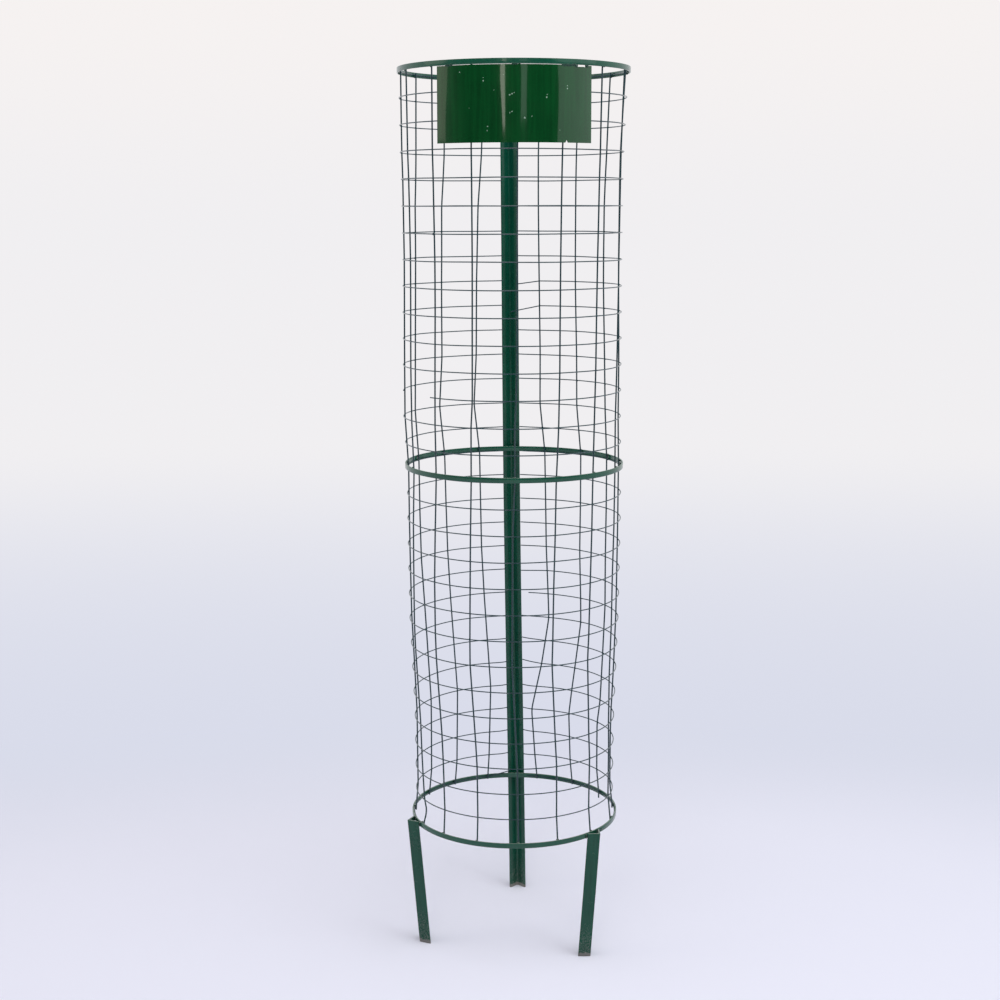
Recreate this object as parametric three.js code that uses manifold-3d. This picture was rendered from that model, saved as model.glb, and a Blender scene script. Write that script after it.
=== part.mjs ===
// A round guard for a young tree: a cylinder of welded wire mesh held by three flat-bar hoops, on one
// full-height angle post at the back and two short angle legs at the front, with a blank name plate.
// Millimetres, +Z up. The front, where the plate hangs, faces -Y, and azimuths are in degrees from the
// front, positive towards +X. The origin is the middle of the bounding box, at the ground.
import * as THREE from 'three';
import { mergeVertices } from 'three/addons/utils/BufferGeometryUtils.js';
import Module from 'manifold-3d';

const wasm = await Module();
wasm.setup();

// ---- driving dimensions -------------------------------------------------------------------------
const ROW_PITCH = 50.8;          // height between two rings of the mesh
const ROWS = 30;                 // rings, counted from the top hoop down
const LEG_HEIGHT = 258;          // ground to the middle of the bottom hoop
const MIDDLE_HOOP_RISE = 5;      // the middle hoop sits this far above the ring behind it
const MIDDLE_HOOP_ROW = 15;

const HOOP_RADIUS_TOP = 223;     // outside of the top hoop
const HOOP_RADIUS_BOTTOM = 209;  // outside of the bottom hoop: the bent bars close in a little downwards
const HOOP_HEIGHT = 10;
const HOOP_THICKNESS = 3;
const HOOP_SEGMENTS = 48;

const RING_WIRE = 2;             // diameter of the level wires
const UPRIGHT_WIRE = 3;          // diameter of the upright wires
const RING_STEPS = 30;
const RING_INSET = 4.5;          // from the outside of a hoop in to the middle of a ring wire
const UPRIGHT_INSET = 4.2;       // from the middle of a ring wire in to the middle of an upright

const ANGLE_WIDTH = 25;          // flange of the rolled angle
const ANGLE_THICKNESS = 3;
const ANGLE_ROOT_RADIUS = 3;

const PLATE_HEIGHT = 137;
const PLATE_THICKNESS = 1.5;
const PLATE_FROM = -39.2;        // azimuths of the plate's two upright edges
const PLATE_TO = 38.8;
const PLATE_INSET = 0.4;         // the plate's face lies this far inside the face of the hoop

const GAP = 0.3;                 // between pieces that are welded to each other

// ---- heights and radii --------------------------------------------------------------------------
const BOTTOM_ROW = ROWS - 1;
const rowHeight = (row) => LEG_HEIGHT + (BOTTOM_ROW - row) * ROW_PITCH;
const hoopRadius = (row) => THREE.MathUtils.mapLinear(row, 0, BOTTOM_ROW, HOOP_RADIUS_TOP, HOOP_RADIUS_BOTTOM);
const radians = THREE.MathUtils.degToRad;

// Straight lines between [row, value] knots.
function follow(knots, row) {
  const next = Math.max(1, knots.findIndex(([knot]) => knot >= row));
  const [fromRow, from] = knots[next - 1];
  const [toRow, to] = knots[next];
  return THREE.MathUtils.mapLinear(row, fromRow, toRow, from, to);
}

// How far the mesh is pressed in from the line of the hoops at each row.
const MESH_WAIST = [[0, 0], [4, 3], [7, 3], [10, 1], [13, -1], [15, 0], [17, -1], [21, -0.5], [25, 5], [28, 5], [29, 0]];
const ringRadius = (row) => hoopRadius(row) - RING_INSET - follow(MESH_WAIST, row);

// How far the mesh sways to the right of the axis at each row; between the upper hoops it sways left.
const MESH_SWAY = [[0, 0], [3, -3], [13, -4], [15, 0], [29, 0]];

// The post leans: the place of its middle, sideways, at a height.
const POST_SHIFT_GROUND = 9;
const POST_SHIFT_TOP = -9.5;
const TOP = rowHeight(0) + HOOP_HEIGHT / 2;
const postShift = (z) => THREE.MathUtils.mapLinear(z, 0, TOP, POST_SHIFT_GROUND, POST_SHIFT_TOP);

const onCircle = (azimuth, radius, z = 0) =>
  new THREE.Vector3(radius * Math.sin(radians(azimuth)), -radius * Math.cos(radians(azimuth)), z);

// ---- materials ----------------------------------------------------------------------------------
const enamel = (name, color, roughness) =>
  new THREE.MeshStandardMaterial({ name, color, roughness, metalness: 0 });
const HOOP_PAINT = enamel('hoop_paint', 0x1f4d3f, 0.3);
const WIRE_PAINT = enamel('wire_paint', 0x1c3a34, 0.35);
const ANGLE_PAINT = enamel('angle_paint', 0x1d5242, 0.35);
const PLATE_PAINT = enamel('plate_paint', 0x0f4a24, 0.2);
const WELD_PAINT = enamel('weld_paint', 0x1a4436, 0.4);

const guard = new THREE.Group();

function add(name, geometry, material) {
  const mesh = new THREE.Mesh(geometry, material);
  mesh.name = name;
  guard.add(mesh);
  return mesh;
}

// ---- hoops: flat bar bent on the flat, standing on edge ------------------------------------------
function hoop(name, row, rise = 0) {
  const outside = hoopRadius(row);
  const inside = outside - HOOP_THICKNESS;
  const half = HOOP_HEIGHT / 2;
  const section = [[inside, -half], [outside, -half], [outside, half], [inside, half], [inside, -half]]
    .map(([radius, height]) => new THREE.Vector2(radius, height));
  const ring = add(name, new THREE.LatheGeometry(section, HOOP_SEGMENTS), HOOP_PAINT);
  ring.rotation.x = Math.PI / 2;
  ring.position.z = rowHeight(row) + rise;
}

hoop('top_hoop', 0);
hoop('middle_hoop', MIDDLE_HOOP_ROW, MIDDLE_HOOP_RISE);
hoop('bottom_hoop', BOTTOM_ROW);

// ---- wires --------------------------------------------------------------------------------------
const UPRIGHTS = 15;
const UPRIGHT_FIRST = -160;      // azimuths of the first upright and of the last, either side of the post
const UPRIGHT_LAST = 164.8;
// A wire is a square bar of the same area as the round wire, turned square to its path.
function wireSection(diameter) {
  const half = (diameter * Math.sqrt(Math.PI)) / 4;
  return new THREE.Shape([[-half, -half], [half, -half], [half, half], [-half, half]]
    .map(([x, y]) => new THREE.Vector2(x, y)));
}

function wire(name, path, diameter, steps) {
  const geometry = new THREE.ExtrudeGeometry(wireSection(diameter), { steps, extrudePath: path });
  return add(name, geometry, WIRE_PAINT);
}

// A path whose steps fall evenly on its own parameter, so that the steps meet its knots.
class EvenPath extends THREE.Curve {
  getUtoTmapping(u) {
    return u;
  }
}

// A ring: level, with an end that may droop (or, below zero, rise) past its last upright.
class RingPath extends EvenPath {
  constructor(row, from, to, { startDroop = 0, endDroop = 0 } = {}) {
    super();
    Object.assign(this, { row, from, to, startDroop, endDroop });
  }

  getPoint(t) {
    const azimuth = THREE.MathUtils.lerp(this.from, this.to, t);
    const nearStart = Math.max(0, (UPRIGHT_FIRST - azimuth) / (UPRIGHT_FIRST - this.from));
    const nearEnd = Math.max(0, (azimuth - UPRIGHT_LAST) / (this.to - UPRIGHT_LAST));
    const droop = this.startDroop * nearStart + this.endDroop * nearEnd;
    const point = onCircle(azimuth, ringRadius(this.row), rowHeight(this.row) - droop);
    point.x += follow(MESH_SWAY, this.row);
    return point;
  }
}

// Each ring starts and ends behind the two edges of the post.
const POST_LAP = 15.5;           // from the middle of the post to the end of a ring
function postEdge(row, side) {
  const x = postShift(rowHeight(row)) + side * POST_LAP - follow(MESH_SWAY, row);
  return side * 180 - THREE.MathUtils.radToDeg(Math.asin(x / ringRadius(row)));
}

// Rings that don't run true from one edge of the post to the other: droop of an end in millimetres, and
// an end at an azimuth of its own.
const BENT_RINGS = {
  8: { endDroop: 7, to: 177 },
  9: { endDroop: 13, to: 180 },
  20: { endDroop: 3 },
  21: { to: 171 },
  23: { endDroop: -3 },
  24: { endDroop: -5 },
  28: { endDroop: 3 },
  29: { startDroop: -9 },
};

const BROKEN_RING = 12;          // cut through at the left of the front
const BREAK_FROM = -86;
const BREAK_TO = -46.5;

function ring(name, row, from, to, bends) {
  const steps = Math.ceil(RING_STEPS * (to - from) / 360);
  wire(name, new RingPath(row, from, to, bends), RING_WIRE, steps);
}

for (let row = 0; row < ROWS; row += 1) {
  const bends = BENT_RINGS[row] ?? {};
  const from = postEdge(row, -1);
  const to = bends.to ?? postEdge(row, 1);
  const name = `ring_wire_${String(row + 1).padStart(2, '0')}`;
  if (row === BROKEN_RING) {
    ring(`${name}_stub`, row, from, BREAK_FROM, bends);
    ring(`${name}_long`, row, BREAK_TO, to, bends);
  } else {
    ring(name, row, from, to, bends);
  }
}

// How far each upright is knocked sideways, as [row, millimetres] knots.
const UPRIGHT_KNOCKS = [
  [[0, -16], [3, -12], [5, -4], [8, 0], [11, 1], [13, 6], [15, -1], [19, -4], [21, -9], [25, -20], [29, -14]],
  [[0, -14], [3, -13], [5, -4], [8, -2], [11, -2], [13, 5], [15, -1], [19, -6], [21, -12], [25, -22], [29, -17]],
  [[0, -16], [3, -12], [5, -3], [9, 0], [13, 4], [15, 2], [19, -2], [21, -12], [25, -20], [29, -16]],
  [[0, -8], [5, 0], [13, 4], [17, -4], [21, -10], [25, -12], [29, -4]],
  [[0, -4], [5, 0], [11, 0], [13, 3], [17, -12], [22, -22], [26, -7], [29, 10]],
  [[0, 0], [5, 1], [9, 2], [13, 1], [15, -5], [19, -13], [22, -14], [26, -4], [29, 1]],
  [[0, 0], [12, 0], [15, -8], [17, -10], [22, -14], [26, -3], [29, -2]],
  [[0, -1], [11, -1], [15, -9], [17, -13], [22, -14], [26, -4], [29, -2]],
  [[0, -1], [5, -3], [11, -4], [13, -6], [15, -14], [19, -18], [22, -19], [26, -6], [29, -5]],
  [[0, -3], [3, 3], [8, -1], [11, -3], [13, -6], [15, -13], [19, -17], [22, -19], [26, -5], [29, -5]],
  [[0, 6], [4, 16], [8, 12], [11, 2], [15, -11], [19, -17], [23, -15], [26, -2], [29, 2]],
  [[0, 2], [3, 9], [8, 4], [11, -4], [13, -5], [17, 0], [23, -3], [26, 6], [29, -4]],
  [[0, -2], [3, -3], [5, 2], [8, 1], [11, -5], [15, -12], [19, -12], [21, -14], [25, -9], [26, 1], [29, -2]],
  [[0, 1], [5, 1], [8, 0], [11, -4], [13, -5], [15, -13], [19, -13], [22, -19], [24, -6], [26, 7], [29, 0]],
  [[0, 2], [5, 0], [11, -5], [13, -5], [15, -12], [19, -16], [22, -23], [24, -8], [26, 13], [29, 2]],
];
// The foot of one upright is buckled inwards, halfway between the two lowest rings.
const BUCKLED_UPRIGHT = 4;
const BUCKLE_ROW = BOTTOM_ROW - 0.5;
const BUCKLE_DEPTH = 6.5;
const CORNER_ROWS = [...Array(BOTTOM_ROW).keys(), BUCKLE_ROW, BOTTOM_ROW];

class UprightPath extends EvenPath {
  constructor(index, knocks) {
    super();
    const azimuth = THREE.MathUtils.lerp(UPRIGHT_FIRST, UPRIGHT_LAST, index / (UPRIGHTS - 1));
    this.corners = CORNER_ROWS.map((row) => {
      const buckle = index === BUCKLED_UPRIGHT && row === BUCKLE_ROW ? BUCKLE_DEPTH : 0;
      const radius = ringRadius(row) - UPRIGHT_INSET - buckle;
      const knock = THREE.MathUtils.radToDeg(follow(knocks, row) / radius);
      const corner = onCircle(azimuth + knock, radius, rowHeight(row));
      corner.x += follow(MESH_SWAY, row);
      return corner;
    });
  }

  getPoint(t) {
    const place = t * (this.corners.length - 1);
    const index = Math.min(Math.floor(place), this.corners.length - 2);
    return this.corners[index].clone().lerp(this.corners[index + 1], place - index);
  }
}

UPRIGHT_KNOCKS.forEach((knocks, index) => {
  const path = new UprightPath(index, knocks);
  const name = `upright_wire_${String(index + 1).padStart(2, '0')}`;
  wire(name, path, UPRIGHT_WIRE, CORNER_ROWS.length - 1);
});

// ---- rolled angle: corner outwards, the open side towards the mesh --------------------------------
// The section's outer corner is at 0,0 and its flanges run down to both sides at 45 degrees.
function angleSection() {
  const root = ANGLE_THICKNESS + ANGLE_ROOT_RADIUS;
  const shape = new THREE.Shape();
  shape.moveTo(0, 0);
  shape.lineTo(ANGLE_WIDTH, 0);
  shape.lineTo(ANGLE_WIDTH, ANGLE_THICKNESS);
  shape.lineTo(root, ANGLE_THICKNESS);
  shape.absarc(root, root, ANGLE_ROOT_RADIUS, -Math.PI / 2, -Math.PI, true);
  shape.lineTo(ANGLE_THICKNESS, ANGLE_WIDTH);
  shape.lineTo(0, ANGLE_WIDTH);
  return shape;
}

// From the outer corner in to the inner edge of the flange tips, which is welded to a hoop.
const ANGLE_DEPTH = (ANGLE_WIDTH + ANGLE_THICKNESS) * Math.SQRT1_2;

// An angle bar from the ground up to a height, its ends cut level. leanOut and leanAside are how far its
// top is moved outwards and to the side of its foot.
function angleBar(name, azimuth, footRadius, height, leanOut, leanAside, footAside = 0) {
  const geometry = new THREE.ExtrudeGeometry(angleSection(), {
    depth: height, bevelEnabled: false, curveSegments: 3,
  });
  geometry.rotateZ(-Math.PI * 3 / 4);
  geometry.applyMatrix4(new THREE.Matrix4().makeShear(0, 0, 0, 0, leanAside / height, leanOut / height));
  geometry.translate(footAside, footRadius, 0);
  const bar = add(name, geometry, ANGLE_PAINT);
  bar.rotation.z = radians(azimuth + 180);
}

// The tips meet the hoop's outer face a little in from its full radius, as they stand apart.
const TIP_APART = (ANGLE_WIDTH - ANGLE_THICKNESS) * Math.SQRT1_2;
const tipRadius = (row) => Math.sqrt(hoopRadius(row) ** 2 - TIP_APART ** 2) + GAP;

const POST_AZIMUTH = 180;
const postLeanPerMm = (tipRadius(0) - tipRadius(BOTTOM_ROW)) / (rowHeight(0) - rowHeight(BOTTOM_ROW));
const POST_FOOT_RADIUS = tipRadius(0) + ANGLE_DEPTH + GAP - postLeanPerMm * rowHeight(0);
angleBar('rear_post', POST_AZIMUTH, POST_FOOT_RADIUS, TOP,
  postLeanPerMm * TOP, POST_SHIFT_TOP - POST_SHIFT_GROUND, POST_SHIFT_GROUND);

const LEG_TOP = LEG_HEIGHT + HOOP_HEIGHT / 2;
const LEG_LEAN = 23;             // the front legs are bent in under the guard
const LEFT_LEG_AZIMUTH = -70;
const RIGHT_LEG_AZIMUTH = 47;
function leg(name, azimuth) {
  const hoopEdge = LEG_HEIGHT - HOOP_HEIGHT / 2;
  const footRadius = tipRadius(BOTTOM_ROW) + ANGLE_DEPTH - LEG_LEAN * hoopEdge / LEG_TOP;
  angleBar(name, azimuth, footRadius, LEG_TOP, LEG_LEAN, 0);
}

leg('left_leg', LEFT_LEG_AZIMUTH);
leg('right_leg', RIGHT_LEG_AZIMUTH);

// ---- name plate: blank sheet, bent to the hoop, with a nick in its lower edge ---------------------
function toSolid(geometry) {
  const bare = geometry.clone();
  bare.deleteAttribute('normal');
  bare.deleteAttribute('uv');
  const merged = mergeVertices(bare);
  return new wasm.Manifold(new wasm.Mesh({
    numProp: 3,
    vertProperties: merged.attributes.position.array,
    triVerts: new Uint32Array(merged.index.array),
  }));
}

function fromSolid(solid) {
  const mesh = solid.getMesh();
  const geometry = new THREE.BufferGeometry();
  geometry.setAttribute('position', new THREE.BufferAttribute(mesh.vertProperties, 3));
  geometry.setIndex(new THREE.BufferAttribute(mesh.triVerts, 1));
  return geometry;
}

const PLATE_OUTSIDE = HOOP_RADIUS_TOP - PLATE_INSET;
const PLATE_TOP = rowHeight(0) - HOOP_HEIGHT / 2 - GAP;
const NICK_AZIMUTH = 25;
const NICK_WIDTH = 5;
const NICK_HEIGHT = 6;
const NICK_OVERSHOOT = 1;        // how far the cutter hangs out below the plate
const NICK_CUTTER = 10;          // its depth, through the sheet

function plateSheet() {
  // Shape angles run from +X, so the front, at -Y, is at minus a quarter turn.
  const start = radians(PLATE_FROM - 90);
  const end = radians(PLATE_TO - 90);
  const outline = new THREE.Shape();
  outline.absarc(0, 0, PLATE_OUTSIDE, start, end, false);
  outline.absarc(0, 0, PLATE_OUTSIDE - PLATE_THICKNESS, end, start, true);
  const sheet = new THREE.ExtrudeGeometry(outline, {
    depth: PLATE_HEIGHT, bevelEnabled: false, curveSegments: 18,
  });
  return sheet.translate(0, 0, PLATE_TOP - PLATE_HEIGHT);
}

function plateNick() {
  const nick = new THREE.Shape([
    new THREE.Vector2(-NICK_WIDTH / 2, -NICK_OVERSHOOT),
    new THREE.Vector2(NICK_WIDTH / 2, -NICK_OVERSHOOT),
    new THREE.Vector2(0, NICK_HEIGHT),
  ]);
  const cutter = new THREE.ExtrudeGeometry(nick, { depth: NICK_CUTTER, bevelEnabled: false });
  cutter.rotateX(Math.PI / 2);
  cutter.translate(0, -PLATE_OUTSIDE + NICK_CUTTER / 2, PLATE_TOP - PLATE_HEIGHT);
  return cutter.rotateZ(radians(NICK_AZIMUTH));
}

const plate = toSolid(plateSheet()).subtract(toSolid(plateNick()));
add('name_plate', fromSolid(plate), PLATE_PAINT);

// ---- weld beads ---------------------------------------------------------------------------------
// A bead is a small stretched ball lying against two pieces. size: across, outwards, up.
function bead(name, azimuth, radius, z, size) {
  const geometry = new THREE.IcosahedronGeometry(1, 1);
  geometry.scale(...size);
  const blob = add(name, geometry, WELD_PAINT);
  blob.position.copy(onCircle(azimuth, radius, z));
  blob.rotation.z = radians(azimuth);
}

// Beside a flange tip, in the narrow groove between its end and the hoop.
const TIP_GAP = 3.5;             // from the tip of the flange to the middle of its bead
const WELD_STANDOFF = 2;         // from the middle of the hoop's bar to the middle of a bead
const GROOVE = ANGLE_WIDTH * Math.SQRT1_2 + TIP_GAP;
const TIP_BEAD = [1.5, 1.5, 4.2];
function tipBead(name, row, azimuth, side, aside = 0, rise = 0) {
  const away = THREE.MathUtils.radToDeg(Math.asin((aside + side * GROOVE) / hoopRadius(row)));
  bead(name, azimuth + away, hoopRadius(row) + WELD_STANDOFF, rowHeight(row) + rise, TIP_BEAD);
}

tipBead('post_weld_top', 0, POST_AZIMUTH, 1, -postShift(rowHeight(0)));
tipBead('post_weld_middle', MIDDLE_HOOP_ROW, POST_AZIMUTH, 1, -postShift(rowHeight(MIDDLE_HOOP_ROW)), MIDDLE_HOOP_RISE);
tipBead('post_weld_bottom', BOTTOM_ROW, POST_AZIMUTH, 1, -postShift(rowHeight(BOTTOM_ROW)));
tipBead('left_leg_weld', BOTTOM_ROW, LEFT_LEG_AZIMUTH, 1);
tipBead('right_leg_weld', BOTTOM_ROW, RIGHT_LEG_AZIMUTH, -1);

// Tacks over the seam between the top hoop and the plate.
const TACK_STANDOFF = 1.3;
const TACK_RADIUS = HOOP_RADIUS_TOP + TACK_STANDOFF;
bead('plate_tack_left', -34, TACK_RADIUS, PLATE_TOP, [4, 1, 2]);
bead('plate_tack_right', 31, TACK_RADIUS, PLATE_TOP, [6, 1, 2.5]);

// ---- place the guard over its origin --------------------------------------------------------------
const bounds = new THREE.Box3().setFromObject(guard, true);
guard.position.set(-(bounds.min.x + bounds.max.x) / 2, -(bounds.min.y + bounds.max.y) / 2, 0);

export default guard;
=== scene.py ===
"""A painted tree guard: welded mesh on three hoops, with an angle post, two legs and a name plate."""

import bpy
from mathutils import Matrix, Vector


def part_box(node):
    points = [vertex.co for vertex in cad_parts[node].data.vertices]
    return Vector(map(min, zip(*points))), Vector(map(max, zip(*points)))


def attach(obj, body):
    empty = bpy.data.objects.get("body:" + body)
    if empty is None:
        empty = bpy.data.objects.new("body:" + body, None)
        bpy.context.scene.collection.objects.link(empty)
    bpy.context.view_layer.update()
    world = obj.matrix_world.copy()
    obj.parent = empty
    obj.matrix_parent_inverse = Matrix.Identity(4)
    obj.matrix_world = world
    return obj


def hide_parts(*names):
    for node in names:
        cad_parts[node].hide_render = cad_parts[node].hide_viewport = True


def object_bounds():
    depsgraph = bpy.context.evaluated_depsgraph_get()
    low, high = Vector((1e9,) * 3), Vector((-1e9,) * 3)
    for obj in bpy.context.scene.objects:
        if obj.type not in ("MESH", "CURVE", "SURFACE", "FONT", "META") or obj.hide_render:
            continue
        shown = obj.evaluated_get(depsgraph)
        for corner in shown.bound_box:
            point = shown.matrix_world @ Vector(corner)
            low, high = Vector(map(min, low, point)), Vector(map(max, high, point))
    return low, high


bl_info = {
    "name": "Tree Guard",
    "version": (1, 0, 0),
    "blender": (4, 5, 0),
    "location": "3D View > Sidebar > Tree Guard",
    "description": "Dresses the tree guard's frame with its wires, bars, plate, welds and gloss enamel",
    "category": "Add Mesh",
}

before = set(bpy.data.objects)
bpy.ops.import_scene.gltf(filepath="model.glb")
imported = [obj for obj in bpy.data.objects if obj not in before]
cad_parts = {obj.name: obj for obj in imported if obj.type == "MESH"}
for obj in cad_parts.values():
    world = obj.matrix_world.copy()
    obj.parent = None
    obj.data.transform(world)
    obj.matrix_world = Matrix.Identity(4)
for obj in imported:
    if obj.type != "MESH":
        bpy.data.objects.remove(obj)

import math
import random

import bmesh
import bpy
from mathutils import Matrix, Vector, noise

CAD_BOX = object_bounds()
BODY = "root"
MM = 0.001
UP = Vector((0, 0, 1))
CORNER = 8 * MM                  # half the length over which a knocked wire bends

# ---- the guard's own polar places: azimuths from the front, which faces -Y, positive towards +X -


def middle(node):
    low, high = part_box(node)
    return (low + high) / 2


AXIS = middle("top_hoop")


def outwards(azimuth):
    return Vector((math.sin(azimuth), -math.cos(azimuth), 0))


def sideways(azimuth):
    """The direction in which the azimuth grows."""
    return Vector((math.cos(azimuth), math.sin(azimuth), 0))


def on_circle(azimuth, radius, height):
    return Vector((AXIS.x, AXIS.y, height)) + outwards(azimuth) * radius


def azimuth_of(point):
    return math.atan2(point.x - AXIS.x, AXIS.y - point.y)


def radius_of(point):
    return math.hypot(point.x - AXIS.x, point.y - AXIS.y)


def mean(values):
    values = list(values)
    return sum(values) / len(values)


def blend(knots, place):
    """Straight lines between (place, value) knots, level past the ends."""
    if place <= knots[0][0]:
        return knots[0][1]
    for (from_place, start), (to_place, end) in zip(knots, knots[1:]):
        if place <= to_place:
            return start + (end - start) * (place - from_place) / (to_place - from_place)
    return knots[-1][1]


def bent(knots, place):
    """As blend, but with each corner rounded as a knocked wire's is."""
    return mean(blend(knots, place + near) for near in (-CORNER, 0, CORNER))


# ---- what the frame says about each wire and hoop -----------------------------------------------


def nodes_named(start):
    return sorted(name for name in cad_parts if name.startswith(start))


WHOLE_RINGS = [node for node in nodes_named("ring_wire") if not node.endswith(("_stub", "_long"))]
SHIFT_LINE = sorted((middle(node).z, middle(node).x - AXIS.x) for node in WHOLE_RINGS)
STEP_GAP = 20 * MM               # a bigger rise than this leads to the next step of an upright
FLAT = 0.8                       # how squarely a face looks along its ring if it is one of its ends


def ring_facts(node):
    """Radius and height of a ring, and the azimuth and droop of its two ends."""
    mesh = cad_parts[node].data
    heights = sorted(vertex.co.z for vertex in mesh.vertices)
    quarter = len(heights) // 4
    facts = {"height": (heights[quarter] + heights[3 * quarter]) / 2}
    shift = Vector((blend(SHIFT_LINE, facts["height"]), 0, 0))
    facts["radius"] = mean(radius_of(vertex.co - shift) for vertex in mesh.vertices)
    for face in mesh.polygons:
        azimuth = azimuth_of(face.center - shift)
        along = face.normal.dot(sideways(azimuth))
        if abs(along) > FLAT:
            end = "end" if along > 0 else "start"
            facts[end] = azimuth
            facts[end + "_rise"] = face.center.z - facts["height"]
    if facts["end"] < facts["start"]:
        facts["end"] += math.tau
    return facts


def upright_facts(node):
    """How an upright turns, as (height, azimuth) knots, and likewise how far inside the rings it is."""
    points = [vertex.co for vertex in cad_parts[node].data.vertices]
    points.sort(key=lambda point: point.z)
    steps = [[points[0]]]
    for before, here in zip(points, points[1:]):
        if here.z - before.z > STEP_GAP:
            steps.append([])
        steps[-1].append(here)
    centres = [sum(step, Vector()) / len(step) for step in steps]
    own = [c - Vector((blend(SHIFT_LINE, c.z), 0, 0)) for c in centres]
    first = azimuth_of(own[0])
    turns = [(c.z, first + math.remainder(azimuth_of(c) - first, math.tau)) for c in own]
    insets = [(c.z, blend(RING_LINE, c.z) - radius_of(c)) for c in own]
    return {"turns": turns, "insets": insets}


HOOPS = {
    node: {"radius": (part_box(node)[1].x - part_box(node)[0].x) / 2, "height": middle(node).z}
    for node in ("top_hoop", "middle_hoop", "bottom_hoop")
}
BAR_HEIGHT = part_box("top_hoop")[1].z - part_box("top_hoop")[0].z
BAR_THICKNESS = 3 * MM
RINGS = {node: ring_facts(node) for node in nodes_named("ring_wire")}
RING_LINE = sorted((RINGS[node]["height"], RINGS[node]["radius"]) for node in WHOLE_RINGS)
UPRIGHTS = {node: upright_facts(node) for node in nodes_named("upright_wire")}
USUAL_INSET = mean(inset for upright in UPRIGHTS.values() for height, inset in upright["insets"])
WIRE_TOP = RING_LINE[-1][0]
WIRE_FOOT = RING_LINE[0][0]


def on_mesh(azimuth, radius, height):
    """A place round the mesh's own middle, which sways between the hoops."""
    return on_circle(azimuth, radius, height) + Vector((blend(SHIFT_LINE, height), 0, 0))


def crossing(upright, height):
    """The azimuth at which an upright passes a height."""
    return bent(UPRIGHTS[upright]["turns"], height)


# ---- settings -----------------------------------------------------------------------------------


def length(name, description, default):
    return bpy.props.FloatProperty(
        name=name, description=description, default=default, min=0, subtype="DISTANCE", unit="LENGTH"
    )


def colour(name, description, default):
    return bpy.props.FloatVectorProperty(
        name=name, description=description, default=default, min=0, max=1, size=3, subtype="COLOR"
    )


def share(name, description, default, most=1.0):
    return bpy.props.FloatProperty(name=name, description=description, default=default, min=0, max=most)


class GuardWires(bpy.types.PropertyGroup):
    ring_width: length("Ring wire", "Diameter of the level wires", 2.15 * MM)
    upright_width: length("Upright wire", "Diameter of the upright wires", 3.05 * MM)
    bite: length("Bite", "How far two crossing wires are pressed into each other", 0.3 * MM)
    dent: length("Dents", "How far the mesh is knocked in and out between the hoops", 1 * MM)
    waver: length("Waver", "How far a ring strays up and down", 0.9 * MM)
    nugget: length("Nugget", "Half width of the weld at a crossing", 2.1 * MM)


class GuardBars(bpy.types.PropertyGroup):
    bar_thickness: length("Hoop thickness", "Thickness of the hoops' flat bar", BAR_THICKNESS)
    bar_edge: length("Hoop edge", "Rounding of the flat bar's edges", 0.7 * MM)
    angle_width: length("Flange", "Width of the rolled angle's flanges", 25 * MM)
    angle_thickness: length("Flange thickness", "Thickness of the rolled angle", 3 * MM)
    angle_root: length("Root", "Radius inside the corner of the angle", 3.5 * MM)
    angle_heel: length("Heel", "Radius outside the corner of the angle", 1.2 * MM)
    angle_toe: length("Toe", "Radius at the inner edge of each flange's tip", 1.6 * MM)
    post_bow: length("Post bow", "How far the post bows to its left between the hoops", 2.6 * MM)


class GuardPlate(bpy.types.PropertyGroup):
    thickness: length("Thickness", "Thickness of the name plate", 1.5 * MM)
    seam: length("Seam", "Gap between the top hoop and the plate", 0.5 * MM)
    step: length("Step", "Spacing of the plate's mesh", 1.3 * MM)
    wave: length("Waves", "Depth of the sheet's shallow waves", 0.35 * MM)


class GuardPaint(bpy.types.PropertyGroup):
    plate: colour("Plate green", "Enamel on the name plate", (0.0015, 0.056, 0.012))
    bar: colour("Bar green", "Enamel on the hoops", (0.007, 0.088, 0.05))
    angle: colour("Angle green", "Enamel on the post and legs", (0.002, 0.072, 0.04))
    wire: colour("Wire green", "Enamel on the wires", (0.004, 0.038, 0.048))
    weld: colour("Weld green", "Enamel over the welds", (0.003, 0.04, 0.026))
    dust: colour("Dust", "Pale dust settled on the enamel", (0.33, 0.38, 0.33))
    primer: colour("Primer", "Pale primer in the chips", (0.36, 0.5, 0.4))
    bare: colour("Worn steel", "Worn and dusty steel at the feet", (0.24, 0.23, 0.21))
    roughness: share("Roughness", "Roughness of the fresh enamel", 0.17)


class GuardStage(bpy.types.PropertyGroup):
    floor: colour("Floor", "The pale floor", (0.84, 0.83, 0.935))
    # Painted shade: the far floor glows in this colour, darker than the lit floor just behind the guard.
    painted_shade_glow: colour("Shade_Glow", "The floor just behind the guard", (0.69, 0.712, 0.825))
    horizon: colour("Horizon", "The far end of the floor", (0.875, 0.862, 0.88))
    backdrop: colour("Backdrop", "What the camera sees above the horizon", (0.92, 0.887, 0.88))
    lens: bpy.props.FloatProperty(
        name="Lens", description="Focal length in millimetres", default=60.6, min=1
    )
    distance: length("Distance", "From the camera to the guard's axis, along the ground", 3.3)
    camera_height: length("Camera height", "Height of the camera over the ground", 1.471)
    camera_aside: length("Camera aside", "How far the camera stands to the left of the axis", 27.9 * MM)
    pitch: bpy.props.FloatProperty(
        name="Pitch", description="How far the camera looks down", default=math.radians(9.8),
        subtype="ANGLE",
    )
    roll: bpy.props.FloatProperty(
        name="Roll", description="Roll of the camera", default=math.radians(-0.13), subtype="ANGLE"
    )


SETTINGS = {
    "guard_wires": GuardWires,
    "guard_bars": GuardBars,
    "guard_plate": GuardPlate,
    "guard_paint": GuardPaint,
    "guard_stage": GuardStage,
}

# ---- meshes -------------------------------------------------------------------------------------

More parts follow.
